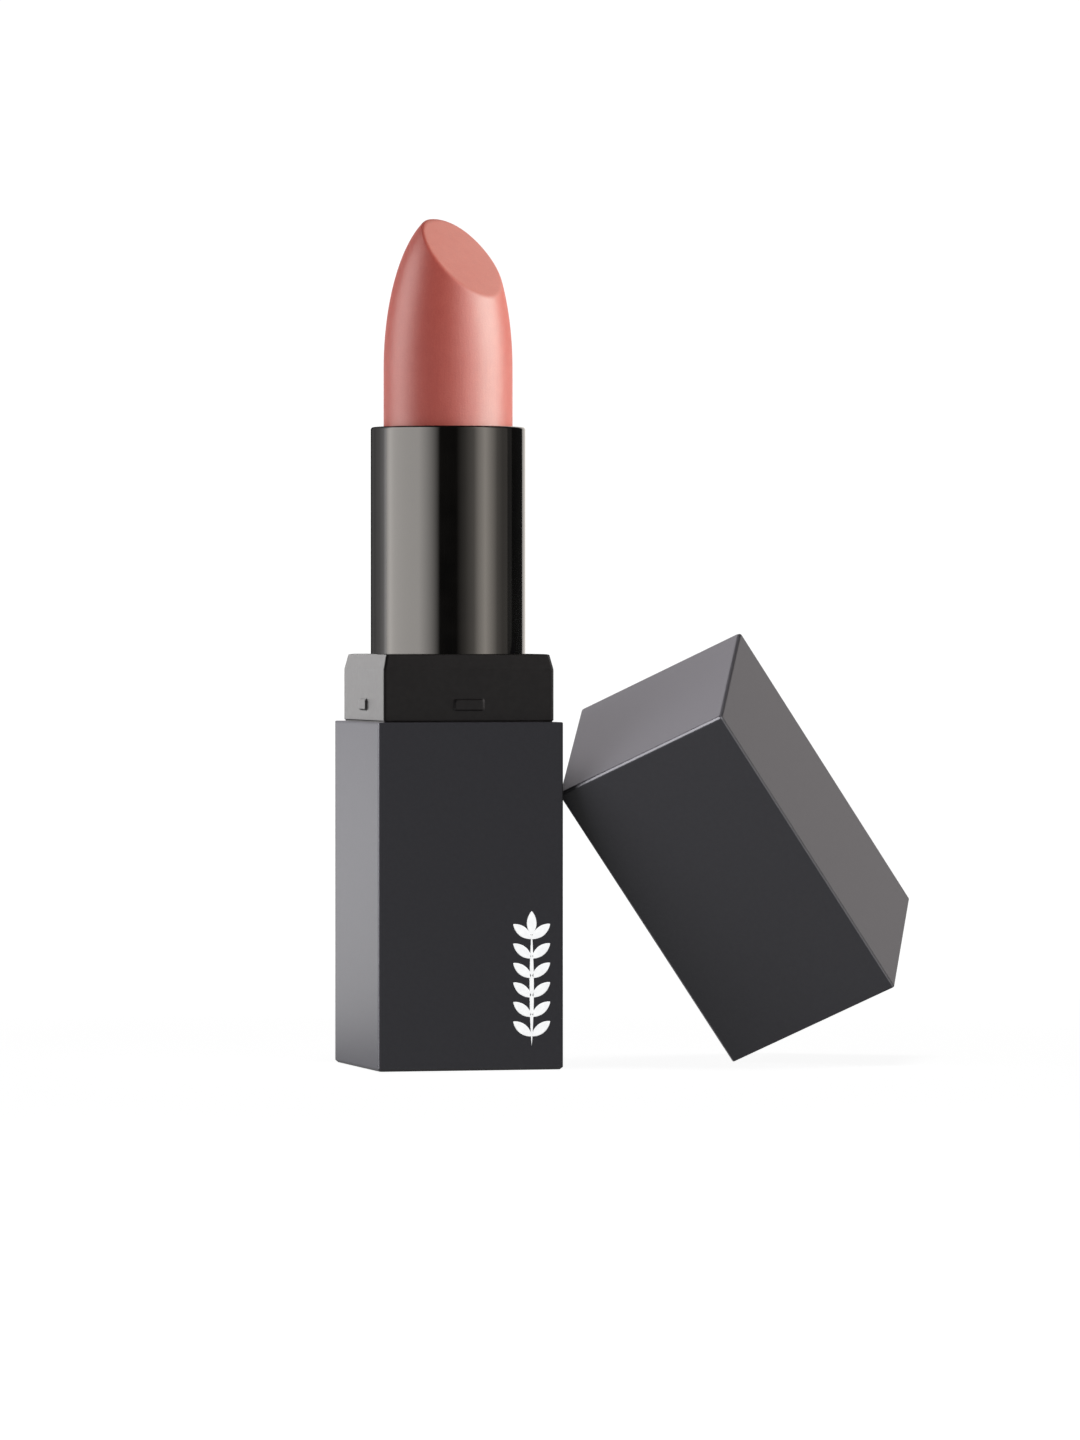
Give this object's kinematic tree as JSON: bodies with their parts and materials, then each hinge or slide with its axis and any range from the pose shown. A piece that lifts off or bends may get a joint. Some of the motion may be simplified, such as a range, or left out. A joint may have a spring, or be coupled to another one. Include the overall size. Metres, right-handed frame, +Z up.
{
  "type": "lipstick case",
  "caption": "Square twist-up lipstick case standing open, with a round turning tube, a slant-cut bullet wound fully up and a square pull-off cap leaning beside it.",
  "frame": {"origin": "middle of the base's underside, on the face that it stands on", "axes": "+Z up along the twist axis, front face towards -Y, the cap leans on the +X side"},
  "size_m": [0.0583, 0.0313, 0.0836],
  "materials": {
    "soft_touch_case": "satin matte, soft-touch",
    "collar_plastic": "matte moulded",
    "gloss_black": "high gloss",
    "lip_colour": "satin wax",
    "mechanism_plastic": "natural moulded",
    "soft_ring": "soft silicone",
    "plain_steel": "plain, tumbled",
    "label_film": "printed paper film, plain"
  },
  "bodies": {
    "base": {"base_shell": "soft_touch_case", "shade_label": "label_film", "base_weight": "plain_steel", "collar_insert": "collar_plastic", "guide_tube": "mechanism_plastic", "brake_ring": "soft_ring", "slip_washer": "mechanism_plastic"},
    "twist_sleeve": {"outer_tube": "gloss_black", "spiral_sleeve": "mechanism_plastic"},
    "carrier": {"carrier_cup": "mechanism_plastic", "bullet": "lip_colour"},
    "cap": {"cap_shell": "soft_touch_case", "cap_liner": "collar_plastic"}
  },
  "joints": [
    {"name": "twist", "type": "hinge", "parent": "base", "child": "twist_sleeve", "pos_m": [0, 0, 0.045], "axis": [0, 0, 1], "range_deg": [0, 540]},
    {"name": "bullet_rise", "type": "slide", "parent": "base", "child": "carrier", "axis": [0, 0, 1], "range_m": [-0.021, 0]},
    {"name": "cap_lift", "type": "slide", "parent": "base", "child": "cap", "axis": [0, 0, 1], "range_m": [0, 0.09]}
  ],
  "couplings": [
    {"joint": "bullet_rise", "follows": "twist", "m_per_rad": -0.002228}
  ]
}
